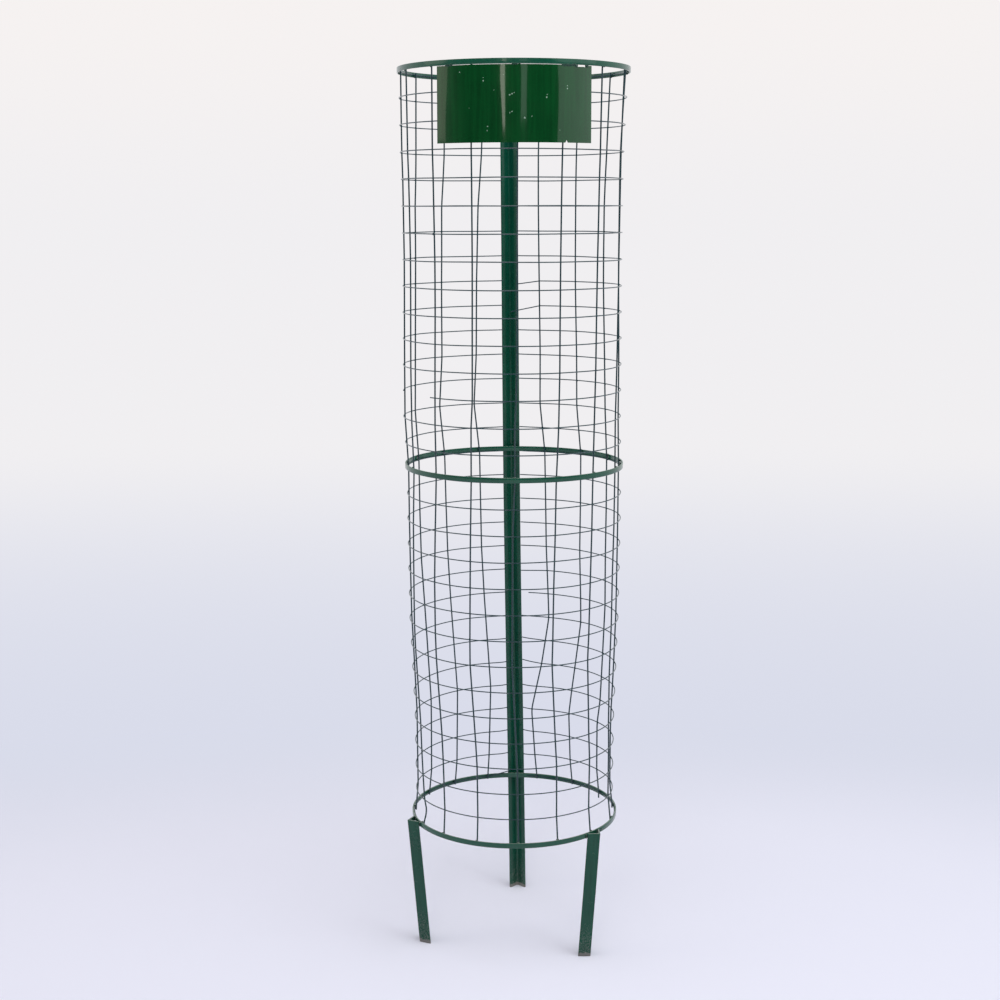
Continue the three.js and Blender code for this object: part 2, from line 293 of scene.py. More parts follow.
CAP_REACH = 0.35                 # how far a wire's end stands out and how wide it is, of its radius
CAP_WIDTH = 0.62
LUMP_WAVES = 1.6                 # waves of unevenness in a lump's radius


class Shell:
    """Vertices and faces of one piece while it is being made."""

    def __init__(self):
        self.points = []
        self.faces = []

    def add(self, points):
        first = len(self.points)
        self.points.extend(points)
        return range(first, len(self.points))

    def skin(self, loops, closed=False):
        """Joins loops of points with quads. The last joins the first if closed, or both are capped."""
        rows = [list(self.add(loop)) for loop in loops]
        count = len(rows[0])
        pairs = list(zip(rows, rows[1:]))
        if closed:
            pairs.append((rows[-1], rows[0]))
        for low, high in pairs:
            for i in range(count):
                j = (i + 1) % count
                self.faces.append((low[i], low[j], high[j], high[i]))
        if not closed:
            self.faces.append(tuple(reversed(rows[0])))
            self.faces.append(tuple(rows[-1]))

    def tube(self, path, radius, sides):
        """A round wire along the path, its ends rounded by the paint."""
        last = len(path) - 1
        loops = []
        for index, point in enumerate(path):
            along = (path[min(index + 1, last)] - path[max(index - 1, 0)]).normalized()
            out = outwards(azimuth_of(point))
            out = (out - along * out.dot(along)).normalized()
            side = along.cross(out)
            thick = radius(index) if callable(radius) else radius
            turns = [math.tau * k / sides for k in range(sides)]
            ring = [out * math.cos(turn) + side * math.sin(turn) for turn in turns]
            loops.append([point + spoke * thick for spoke in ring])
        ends = []
        for loop, point, beyond in ((loops[0], path[0], path[1]), (loops[-1], path[-1], path[-2])):
            back = (point - beyond).normalized() * CAP_REACH * (loop[0] - point).length
            ends.append([point + back + (corner - point) * CAP_WIDTH for corner in loop])
        self.skin([ends[0], *loops, ends[1]])

    def lump(self, centre, axes, seed, rough=0.16, detail=2):
        """A ball stretched along three axes, with an uneven surface, as weld metal has."""
        ball = bmesh.new()
        bmesh.ops.create_icosphere(ball, subdivisions=detail, radius=1)
        shift = Vector((seed * 1.7, seed * 0.9, seed * 2.3))
        points = []
        for vertex in ball.verts:
            swollen = vertex.co * (1 + rough * noise.noise(vertex.co * LUMP_WAVES + shift) * 2)
            points.append(centre + sum((axis * part for axis, part in zip(axes, swollen)), Vector()))
        ids = self.add(points)
        self.faces.extend(tuple(ids[vertex.index] for vertex in face.verts) for face in ball.faces)
        ball.free()


def piece(name, shell, material, nodes=(), sharp=math.radians(40)):
    """Makes the shell a piece of the guard that rides on its body and stands for the named nodes."""
    mesh = bpy.data.meshes.new(name)
    mesh.from_pydata([tuple(point) for point in shell.points], [], shell.faces)
    tidy = bmesh.new()
    tidy.from_mesh(mesh)
    bmesh.ops.recalc_face_normals(tidy, faces=tidy.faces)
    tidy.to_mesh(mesh)
    tidy.free()
    mesh.polygons.foreach_set("use_smooth", [True] * len(mesh.polygons))
    mesh.set_sharp_from_angle(angle=sharp)
    mesh.materials.append(material)
    made = bpy.data.objects.new(name, mesh)
    bpy.context.scene.collection.objects.link(made)
    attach(made, BODY)
    if nodes:
        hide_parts(*nodes)
    return made


def rounded(corners, segments=3):
    """An outline with its corners rounded. Each corner is (x, y, radius)."""
    outline = []
    count = len(corners)
    for index, (x, y, radius) in enumerate(corners):
        here = Vector((x, y))
        before = Vector(corners[index - 1][:2]) - here
        after = Vector(corners[(index + 1) % count][:2]) - here
        if radius <= 0:
            outline.append(here)
            continue
        half = before.angle(after) / 2
        inward = (before.normalized() + after.normalized()).normalized()
        centre = here + inward * (radius / math.sin(half))
        start = here + before.normalized() * (radius / math.tan(half)) - centre
        end = here + after.normalized() * (radius / math.tan(half)) - centre
        turn = start.angle_signed(end)
        for k in range(segments + 1):
            outline.append(centre + Matrix.Rotation(-turn * k / segments, 2) @ start)
    return outline


def wavy(x, y, z, size, seed=0):
    """Smooth noise from -1 to 1 whose lumps are about size across."""
    return noise.noise(Vector((x, y, z)) / size + Vector((seed, -seed, seed)) * 7.3)


# ---- materials ----------------------------------------------------------------------------------


class Wiring:
    """Adds nodes to a tree and links them. A value that is a socket is linked, and any other is set."""

    def __init__(self, tree):
        self.tree = tree

    def node(self, kind, inputs=None, **settings):
        made = self.tree.nodes.new(kind)
        for key, value in settings.items():
            setattr(made, key, value)
        for key, value in (inputs or {}).items():
            self.join(value, made.inputs[key])
        return made

    def join(self, value, socket):
        if isinstance(value, bpy.types.NodeSocket):
            self.tree.links.new(value, socket)
        else:
            socket.default_value = value

    def maths(self, operation, *values, clamp=False):
        made = self.node("ShaderNodeMath", operation=operation, use_clamp=clamp)
        for value, socket in zip(values, made.inputs):
            self.join(value, socket)
        return made.outputs[0]

    def ramp(self, value, low, high, low_value=0.0, high_value=1.0):
        """Maps low..high to low_value..high_value with a soft start and end."""
        made = self.node("ShaderNodeMapRange", interpolation_type="SMOOTHSTEP")
        for key, part in zip(("Value", "From Min", "From Max", "To Min", "To Max"),
                             (value, low, high, low_value, high_value)):
            self.join(part, made.inputs[key])
        return made.outputs["Result"]

    def mix(self, factor, first, second, kind="MIX"):
        made = self.node("ShaderNodeMix", data_type="RGBA", blend_type=kind)
        for index, value in ((0, factor), (6, first), (7, second)):
            self.join(value, made.inputs[index])
        return made.outputs[2]

    def mix_value(self, factor, first, second):
        made = self.node("ShaderNodeMix", data_type="FLOAT")
        for index, value in ((0, factor), (2, first), (3, second)):
            self.join(value, made.inputs[index])
        return made.outputs[0]

    def place(self, stretch=(1, 1, 1)):
        """Coordinates in metres in the guard's own frame, each axis scaled."""
        where = self.node("ShaderNodeTexCoord").outputs["Object"]
        return self.node("ShaderNodeMapping", {"Vector": where, "Scale": stretch}).outputs["Vector"]

    def speckle(self, scale, detail=3.0, roughness=0.55, stretch=(1, 1, 1)):
        return self.node(
            "ShaderNodeTexNoise",
            {"Vector": self.place(stretch), "Scale": scale, "Detail": detail, "Roughness": roughness},
        ).outputs["Fac"]

    def group(self, tree, **inputs):
        made = self.node("ShaderNodeGroup", node_tree=tree)
        for key, value in inputs.items():
            self.join(value, made.inputs[key.replace("_", " ")])
        return made.outputs


KINDS = {"colour": "NodeSocketColor", "value": "NodeSocketFloat"}


def new_group(name, inputs, outputs):
    """An empty shader group with named sockets: its wiring, its input sockets and its output node."""
    tree = bpy.data.node_groups.new(name, "ShaderNodeTree")
    for label, (kind, default) in inputs.items():
        socket = tree.interface.new_socket(name=label, in_out="INPUT", socket_type=KINDS[kind])
        socket.default_value = default
    for label, kind in outputs.items():
        tree.interface.new_socket(name=label, in_out="OUTPUT", socket_type=KINDS[kind])
    wiring = Wiring(tree)
    entry = wiring.node("NodeGroupInput").outputs
    leave = wiring.node("NodeGroupOutput").inputs
    return tree, wiring, entry, leave


GREY = (0.5, 0.5, 0.5, 1)
THIN_PAINT = (1.5, 1.28, 1.3, 1)     # tints of the enamel where it is thin and thick
THICK_PAINT = (0.72, 0.8, 0.82, 1)
# How many lumps of each effect there are in a metre, and how the upright ones are stretched.
PATCHES, STREAKS, DULL_SPOTS, PEEL, SAGS = 14, 160, 38, 620, 110
DUST_GRAIN, DUST_CLOUDS = 240, 9
SCUFFS, SPLASHES, CHIP_EDGES = 170, 420, 620
STREAK_STRETCH, SAG_STRETCH = (1, 1, 0.05), (1, 1, 0.3)
SAG_HEIGHT = 1.6
SCUFF_HEIGHT = 0.016             # in metres, how uneven the scuffed paint's upper edge is
DUST_ROUGHNESS, BARE_ROUGHNESS, PRIMER_ROUGHNESS = 0.85, 0.8, 0.6


def brushed_enamel_group():
    """Brushed enamel: patches and upright streaks in its colour, orange peel and sags in its height."""
    tree, wire, entry, leave = new_group(
        "Brushed Enamel",
        {
            "Paint": ("colour", GREY), "Roughness": ("value", 0.2),
            "Streaks": ("value", 0.3), "Peel": ("value", 0.5),
        },
        {"Colour": "colour", "Roughness": "value", "Height": "value"},
    )
    patches = wire.ramp(wire.speckle(PATCHES, 4), 0.3, 0.7)
    streaks = wire.ramp(wire.speckle(STREAKS, 3, stretch=STREAK_STRETCH), 0.35, 0.7)
    thin = wire.mix(1.0, entry["Paint"], THIN_PAINT, "MULTIPLY")
    thick = wire.mix(1.0, entry["Paint"], THICK_PAINT, "MULTIPLY")
    body = wire.mix(patches, thick, entry["Paint"])
    wire.join(wire.mix(wire.maths("MULTIPLY", streaks, entry["Streaks"]), body, thin), leave["Colour"])
    dull = wire.maths("MULTIPLY", wire.ramp(wire.speckle(DULL_SPOTS, 5, 0.65), 0.35, 0.75), 0.08)
    wire.join(wire.maths("ADD", entry["Roughness"], dull, clamp=True), leave["Roughness"])
    peel = wire.maths("MULTIPLY", wire.speckle(PEEL, 2, 0.4), entry["Peel"])
    sags = wire.maths("MULTIPLY", wire.speckle(SAGS, 2, 0.5, SAG_STRETCH), SAG_HEIGHT)
    wire.join(wire.maths("ADD", peel, sags), leave["Height"])
    return tree


def settled_dust_group():
    """Dust that lies on the faces that look up and clings in patches elsewhere."""
    tree, wire, entry, leave = new_group(
        "Settled Dust",
        {
            "Colour": ("colour", GREY), "Roughness": ("value", 0.2),
            "Dust": ("colour", GREY), "On Top": ("value", 0.6), "Film": ("value", 0.1),
        },
        {"Colour": "colour", "Roughness": "value"},
    )
    facing = wire.node("ShaderNodeNewGeometry").outputs["Normal"]
    upness = wire.node("ShaderNodeSeparateXYZ", {"Vector": facing}).outputs["Z"]
    grain = wire.ramp(wire.speckle(DUST_GRAIN, 6, 0.7), 0.3, 0.7)
    cloud = wire.ramp(wire.speckle(DUST_CLOUDS, 4, 0.6), 0.35, 0.75)
    lying = wire.maths("MULTIPLY", wire.ramp(upness, 0.35, 1.0), entry["On Top"])
    top = wire.maths("MULTIPLY", lying, grain)
    film = wire.maths("MULTIPLY", wire.maths("MULTIPLY", cloud, grain), entry["Film"])
    amount = wire.maths("ADD", top, film, clamp=True)
    wire.join(wire.mix(amount, entry["Colour"], entry["Dust"]), leave["Colour"])
    wire.join(wire.mix_value(amount, entry["Roughness"], DUST_ROUGHNESS), leave["Roughness"])
    return tree


def worn_feet_group():
    """The last millimetres above the ground are scuffed to steel, with splashed dirt above them."""
    tree, wire, entry, leave = new_group(
        "Worn Feet",
        {
            "Colour": ("colour", GREY), "Roughness": ("value", 0.2),
            "Bare": ("colour", GREY), "Scuffed": ("value", 0.007), "Splashed": ("value", 0.09),
        },
        {"Colour": "colour", "Roughness": "value"},
    )
    height = wire.node("ShaderNodeSeparateXYZ", {"Vector": wire.place()}).outputs["Z"]
    uneven = wire.maths("SUBTRACT", wire.speckle(SCUFFS, 5, 0.7), 0.5)
    ragged = wire.maths("MULTIPLY", uneven, SCUFF_HEIGHT)
    above = wire.maths("ADD", height, ragged)
    scuff = wire.ramp(wire.maths("DIVIDE", above, entry["Scuffed"]), 0.75, 1.25, 1.0, 0.0)
    fade = wire.ramp(wire.maths("DIVIDE", above, entry["Splashed"]), 0.0, 1.0, 0.5, 0.0)
    splash = wire.maths("MULTIPLY", fade, wire.ramp(wire.speckle(SPLASHES, 4, 0.7), 0.45, 0.65))
    amount = wire.maths("MAXIMUM", scuff, splash)
    wire.join(wire.mix(amount, entry["Colour"], entry["Bare"]), leave["Colour"])
    wire.join(wire.mix_value(amount, entry["Roughness"], BARE_ROUGHNESS), leave["Roughness"])
    return tree


def chipped_edges_group():
    """Small chips down to the primer. Chance is 1 on an edge or a marked chip, and 0 where none are."""
    tree, wire, entry, leave = new_group(
        "Chipped Edges",
        {
            "Colour": ("colour", GREY), "Roughness": ("value", 0.2),
            "Primer": ("colour", GREY), "Chance": ("value", 0.0), "Amount": ("value", 0.4),
        },
        {"Colour": "colour", "Roughness": "value", "Mask": "value"},
    )
    ragged = wire.maths("MULTIPLY", wire.speckle(CHIP_EDGES, 4, 0.75), 1.5)
    likely = wire.maths("ADD", ragged, wire.maths("MULTIPLY", entry["Chance"], entry["Amount"]))
    mask = wire.maths("MULTIPLY", wire.ramp(likely, 1.3, 1.42), wire.ramp(entry["Chance"], 0.02, 0.1))
    wire.join(wire.mix(mask, entry["Colour"], entry["Primer"]), leave["Colour"])
    wire.join(wire.mix_value(mask, entry["Roughness"], PRIMER_ROUGHNESS), leave["Roughness"])
    wire.join(mask, leave["Mask"])
    return tree


def opaque(three):
    return (*three, 1)


def enamel_material(name, paint, streaks=0.3, peel=0.5, peel_depth=0.05, on_top=0.6, film=0.1, chips=0.3,
                    marked=False, coat=0.3, shine=0.35, extra_rough=0.0):
    """Gloss enamel on steel, made of the shared effects with this piece's own values."""
    colours = bpy.context.scene.guard_paint
    material = bpy.data.materials.new(name)
    material.use_nodes = True
    material.node_tree.nodes.clear()
    wire = Wiring(material.node_tree)
    groups = bpy.data.node_groups
    enamel = wire.group(groups["Brushed Enamel"], Paint=opaque(paint),
                        Roughness=colours.roughness + extra_rough, Streaks=streaks, Peel=peel)
    if marked:
        chance = wire.node("ShaderNodeAttribute", attribute_name="chip").outputs["Fac"]
    else:
        edge = wire.node("ShaderNodeNewGeometry").outputs["Pointiness"]
        chance = wire.ramp(edge, 0.52, 0.62)
    chipped = wire.group(groups["Chipped Edges"], Colour=enamel["Colour"], Roughness=enamel["Roughness"],
                         Primer=opaque(colours.primer), Chance=chance, Amount=chips)
    dusty = wire.group(groups["Settled Dust"], Colour=chipped["Colour"], Roughness=chipped["Roughness"],
                       Dust=opaque(colours.dust), On_Top=on_top, Film=film)
    worn = wire.group(groups["Worn Feet"], Colour=dusty["Colour"], Roughness=dusty["Roughness"],
                      Bare=opaque(colours.bare))
    height = wire.maths("SUBTRACT", enamel["Height"], chipped["Mask"])
    bump = wire.node("ShaderNodeBump", {"Height": height, "Strength": 1.0, "Distance": peel_depth * MM})
    shader = wire.node("ShaderNodeBsdfPrincipled", {
        "Base Color": worn["Colour"], "Roughness": worn["Roughness"], "Normal": bump.outputs["Normal"],
        "Coat Weight": coat, "Coat Roughness": 0.05, "IOR": 1.5, "Specular IOR Level": shine,
    })
    wire.node("ShaderNodeOutputMaterial", {"Surface": shader.outputs["BSDF"]})
    return material


class GUARD_OT_paint(bpy.types.Operator):
    """Mixes the shared enamel effects and the five finishes"""

    bl_idname = "guard.paint"
    bl_label = "Mix the Paint"

    def execute(self, context):
        brushed_enamel_group()
        settled_dust_group()
        worn_feet_group()
        chipped_edges_group()
        paint = context.scene.guard_paint
        enamel_material("Hoop Enamel", paint.bar, streaks=0.2, film=0.03, chips=0.5)
        enamel_material("Wire Enamel", paint.wire, streaks=0.1, peel=0.3, peel_depth=0.03, on_top=0.15,
                        film=0.03, chips=0.4)
        enamel_material("Angle Enamel", paint.angle, streaks=0.45, film=0.02, chips=0.5, coat=0.22,
                        shine=0.25, extra_rough=0.04)
        enamel_material("Plate Enamel", paint.plate, streaks=0.7, peel=0.35, peel_depth=0.03, film=0.0,
                        chips=1.0, marked=True, coat=0.9, shine=0.12)
        enamel_material("Weld Enamel", paint.weld, streaks=0.1, peel=0.8, peel_depth=0.08, film=0.04,
                        chips=0.45)
        return {"FINISHED"}


def finish(name):
    return bpy.data.materials[name]


# ---- hoops --------------------------------------------------------------------------------------

HOOP_STEPS = 240
HOOP_WAVE = 0.25 * MM            # depth of the hoops' shallow waves


class GUARD_OT_hoops(bpy.types.Operator):
    """Bends the three flat bars into hoops with worn round edges"""

    bl_idname = "guard.hoops"
    bl_label = "Bend the Hoops"

    def execute(self, context):
        bars = context.scene.guard_bars
        half = BAR_HEIGHT / 2
        edge = bars.bar_edge
        section = rounded([
            (-bars.bar_thickness, -half, edge), (0, -half, edge),
            (0, half, edge), (-bars.bar_thickness, half, edge),
        ])
        for seed, (node, hoop) in enumerate(HOOPS.items()):
            shell = Shell()
            loops = []
            for step in range(HOOP_STEPS):
                azimuth = math.tau * step / HOOP_STEPS
                out = outwards(azimuth)
                flat = HOOP_WAVE * (wavy(out.x, out.y, 0, 0.35, seed) - 1)
                loops.append([
                    on_circle(azimuth, hoop["radius"] + flat + point.x, hoop["height"] + point.y)
                    for point in section
                ])
            shell.skin(loops, closed=True)
            piece(node, shell, finish("Hoop Enamel"), [node])
        return {"FINISHED"}


# ---- wires --------------------------------------------------------------------------------------

FADE = 130 * MM                  # from a hoop, where the mesh is held, to where it is free to be dented
DENT_SIZE = 0.75                 # size of a dent, where the guard's radius is 1
WAVER_SIZE = 0.6                 # and of a ring's stray up or down
RING_STEP = math.radians(1.5)
END_REACH = math.radians(7)      # over which a ring's end bends out to the post
POST_CORNER = math.radians(1.7)  # a ring that ends as near as this to the post's corner doesn't bend
NEAR_POST = -0.99                # cosine of the azimuth behind which a ring's end is at the post
TIP_LAP = 0.5 * MM               # how far a ring's end is inside the flange tip
NUGGET_DEPTH = 0.62              # of a nugget's half width
NUGGET_HEIGHT = 0.72


def mesh_radius(azimuth, height, dent):
    """The radius of the ring wires' middles, with the mesh's dents."""
    held = min(abs(height - hoop["height"]) for hoop in HOOPS.values())
    out = outwards(azimuth)
    hollow = wavy(out.x, out.y, height * 2.5, DENT_SIZE) * dent * min(held / FADE, 1)
    return blend(RING_LINE, height) + hollow


def post_edge(height):
    """The radius at which a ring's end meets the post's flange tip."""
    bottom, top = HOOPS["bottom_hoop"], HOOPS["top_hoop"]
    share_up = (height - bottom["height"]) / (top["height"] - bottom["height"])
    return bottom["radius"] + (top["radius"] - bottom["radius"]) * share_up - TIP_LAP


def upright_radius(azimuth, height, wires):
    inset = (wires.ring_width + wires.upright_width) / 2 - wires.bite
    return mesh_radius(azimuth, height, wires.dent) - inset


def end_droop(ring, azimuth):
    """How far a ring is raised here. Its ends hang or rise straight from its outermost welds."""
    rise = 0
    for end, upright in (("start", "upright_wire_01"), ("end", "upright_wire_15")):
        weld = crossing(upright, ring["height"])
        rise += ring[end + "_rise"] * max(0, (azimuth - weld) / (ring[end] - weld))
    return rise


def stray_height(ring, azimuth, wires, seed):
    """The height of a ring where it strays up and down."""
    out = outwards(azimuth)
    return ring["height"] + wires.waver * wavy(out.x, out.y, seed * 3.1, WAVER_SIZE)


def ring_path(ring, wires, seed):
    """Points along a ring's middle."""
    count = math.ceil((ring["end"] - ring["start"]) / RING_STEP)
    path = []
    for step in range(count + 1):
        azimuth = ring["start"] + (ring["end"] - ring["start"]) * step / count
        height = stray_height(ring, azimuth, wires, seed)
        radius = mesh_radius(azimuth, height, wires.dent)
        height += end_droop(ring, azimuth)
        for end, distance in (("start", azimuth - ring["start"]), ("end", ring["end"] - azimuth)):
            beside = abs(math.remainder(ring[end] - math.pi, math.tau)) > POST_CORNER
            if beside and math.cos(ring[end]) < NEAR_POST:
                reach = max(0, 1 - distance / END_REACH) ** 2
                radius += (post_edge(height) - radius) * reach
        path.append(on_mesh(azimuth, radius, height))
    return path


class GUARD_OT_rings(bpy.types.Operator):
    """Draws the level ring wires, each with its welds where the uprights cross it"""

    bl_idname = "guard.rings"
    bl_label = "Draw the Rings"

    CLOGGED = ("ring_wire_07", "upright_wire_06")    # the crossing with a big lump of weld and paint
    CLOGGED_SIZE = 1.9
    SIDES = 8

    def execute(self, context):
        wires = context.scene.guard_wires
        for seed, (node, ring) in enumerate(RINGS.items()):
            shell = Shell()
            shell.tube(ring_path(ring, wires, seed), wires.ring_width / 2, self.SIDES)
            self.weld(shell, ring, wires, seed)
            piece(node, shell, finish("Wire Enamel"), [node])
        return {"FINISHED"}

    def weld(self, shell, ring, wires, seed):
        """A nugget of weld and paint at each crossing that this length of ring reaches."""
        for index, upright in enumerate(UPRIGHTS):
            azimuth = crossing(upright, ring["height"])
            azimuth += math.tau * math.ceil((ring["start"] - azimuth) / math.tau)
            if azimuth > ring["end"]:
                continue
            height = stray_height(ring, azimuth, wires, seed)
            radius = mesh_radius(azimuth, height, wires.dent) - wires.ring_width * 0.45
            size = wires.nugget * (1 + 0.25 * noise.noise(Vector((seed, index, 0.5))))
            if ring is RINGS[self.CLOGGED[0]] and upright == self.CLOGGED[1]:
                size *= self.CLOGGED_SIZE
            deep = outwards(azimuth) * size * NUGGET_DEPTH
            axes = (sideways(azimuth) * size, deep, UP * size * NUGGET_HEIGHT)
            shell.lump(on_mesh(azimuth, radius, height), axes, seed * 17 + index, rough=0.12)


class GUARD_OT_uprights(bpy.types.Operator):
    """Draws the upright wires inside the rings, knocked out of line as the mesh is"""

    bl_idname = "guard.uprights"
    bl_label = "Draw the Uprights"

    OVERLAP = 3.5 * MM               # past the middle of the first and last rings
    POKING_OUT = "upright_wire_13"   # its foot comes out below the bottom hoop
    POKE = 11 * MM
    STEP = 6 * MM
    SIDES = 10

    def execute(self, context):
        wires = context.scene.guard_wires
        for node, upright in UPRIGHTS.items():
            foot = WIRE_FOOT - (self.POKE if node == self.POKING_OUT else self.OVERLAP)
            top = WIRE_TOP + self.OVERLAP
            count = round((top - foot) / self.STEP)
            path = []
            for step in range(count + 1):
                height = foot + (top - foot) * step / count
                azimuth = crossing(node, height)
                pressed = max(0, bent(upright["insets"], height) - USUAL_INSET)
                path.append(on_mesh(azimuth, upright_radius(azimuth, height, wires) - pressed, height))
            shell = Shell()
            shell.tube(path, wires.upright_width / 2, self.SIDES)
            piece(node, shell, finish("Wire Enamel"), [node])
        return {"FINISHED"}


# ---- post and legs ------------------------------------------------------------------------------


def end_points(node, top):
    """The points of an angle bar's sawn top or foot."""
    points = [vertex.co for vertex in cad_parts[node].data.vertices]
    level = (max if top else min)(point.z for point in points)
    return [point for point in points if abs(point.z - level) < MM]


def bar_end(node, out, top):
    """The outer corner of an angle bar at its top or its foot."""
    return max(end_points(node, top), key=lambda point: point.dot(out)).copy()


def bar_facing(node):
    """The azimuth that an angle bar's outer corner looks to."""
    if node == "rear_post":
        return math.pi
    top = end_points(node, True)
    return azimuth_of(sum(top, Vector()) / len(top))


class GUARD_OT_angles(bpy.types.Operator):
    """Rolls the post and the two legs from steel angle"""

    bl_idname = "guard.angles"
    bl_label = "Cut the Post and Legs"

    STEP = 10 * MM
    TIP_ROUND = 0.4 * MM         # at the outer edge of a flange's tip
    LEG_BOW = 0.4 * MM
    SAW_ROUND = 0.35 * MM        # over which a sawn end is rounded
    SAW_SHRINK = 0.125 * MM
    UNEVEN = 0.12 * MM           # how uneven the rolled faces are

    def execute(self, context):
        bars = context.scene.guard_bars
        width, thick = bars.angle_width, bars.angle_thickness
        outline = rounded([
            (0, 0, bars.angle_heel), (width, 0, self.TIP_ROUND), (width, thick, bars.angle_toe),
            (thick, thick, bars.angle_root), (thick, width, bars.angle_toe), (0, width, self.TIP_ROUND),
        ], segments=4)
        for node in ("rear_post", "left_leg", "right_leg"):
            self.bar(node, outline, bars)
        return {"FINISHED"}

    def bar(self, node, outline, bars):
        facing = bar_facing(node)
        out, side = outwards(facing), sideways(facing)
        first, second = (-out + side).normalized(), (-out - side).normalized()
        foot, top = bar_end(node, out, False), bar_end(node, out, True)
        steps = math.ceil((top.z - foot.z) / self.STEP)
        bow = bars.post_bow if node == "rear_post" else self.LEG_BOW
        centre = sum(outline, Vector((0, 0))) / len(outline)
        loops = []
        for step in range(-1, steps + 2):
            past_end = step < 0 or step > steps
            along = min(max(step, 0), steps) / steps
            corner = foot.lerp(top, along) + side * bow * math.sin(math.pi * along) ** 2
            shrink = 1 - self.SAW_SHRINK / bars.angle_thickness if past_end else 1
            lift = UP * {0: self.SAW_ROUND, steps: -self.SAW_ROUND}.get(step, 0)
            loop = []
            for point in outline:
                spot = centre + (point - centre) * shrink
                hollow = self.UNEVEN * (1 - wavy(spot.x * 20, spot.y * 20, corner.z * 12, 1.0, 3))
                loop.append(corner + lift + first * spot.x + second * spot.y - out * hollow)
            loops.append(loop)
        shell = Shell()
        shell.skin(loops)
        piece(node, shell, finish("Angle Enamel"), [node], sharp=math.radians(50))


# ---- name plate ---------------------------------------------------------------------------------


def plate_span():
    """The azimuths of the plate's two upright edges."""
    azimuths = [azimuth_of(vertex.co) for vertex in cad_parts["name_plate"].data.vertices]
    return min(azimuths), max(azimuths)


PLATE_LOW, PLATE_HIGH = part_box("name_plate")
SEAM_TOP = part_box("top_hoop")[0].z
PLATE_RADIUS = AXIS.y - PLATE_LOW.y
NICK = math.radians(25)
NICK_WIDTH = 5 * MM
NICK_HEIGHT = 6 * MM
# The weld at the right of the plate has burnt a gap in its top edge between these azimuths.
BURN = (math.radians(30.6), math.radians(35.4))
BURN_DEPTH = 4 * MM
BURN_TEETH = 260                 # ragged teeth in a radian of the burnt edge
SHEAR_DEPTH = 0.25 * MM          # how uneven the rest of the top edge is
SHEAR_TEETH = 90
WAVE_SIZE = 34 * MM
# Chips in the plate's face: millimetres to the right of its front, up from its foot, and half across.
CHIPS = (
    (-57, 108, 2.2), (-57, 113, 1.6), (-9, 83, 2.4), (-5, 85, 2.2), (-1, 87, 1.8), (-9, 52, 1.8),
    (-5, 54, 2.0), (-49, 28, 2.2), (-50, 21, 1.8), (18, 43, 2.8), (31, 46, 2.0), (58, 79, 2.4),
    (59, 84, 1.6), (98, 95, 2.4), (98, 100, 1.8), (-37, 92, 1.5), (-102, 124, 2.0), (84, 22, 1.5),
    (-84, 61, 1.4), (-20, 118, 1.4),
)
CHIP_FILL = 1.15                 # over 1, so that a chip's middle is bare
EDGE_WEAR = 0.42
EDGE_BAND = 3 * MM               # along the sheet's edges, where its paint is worn


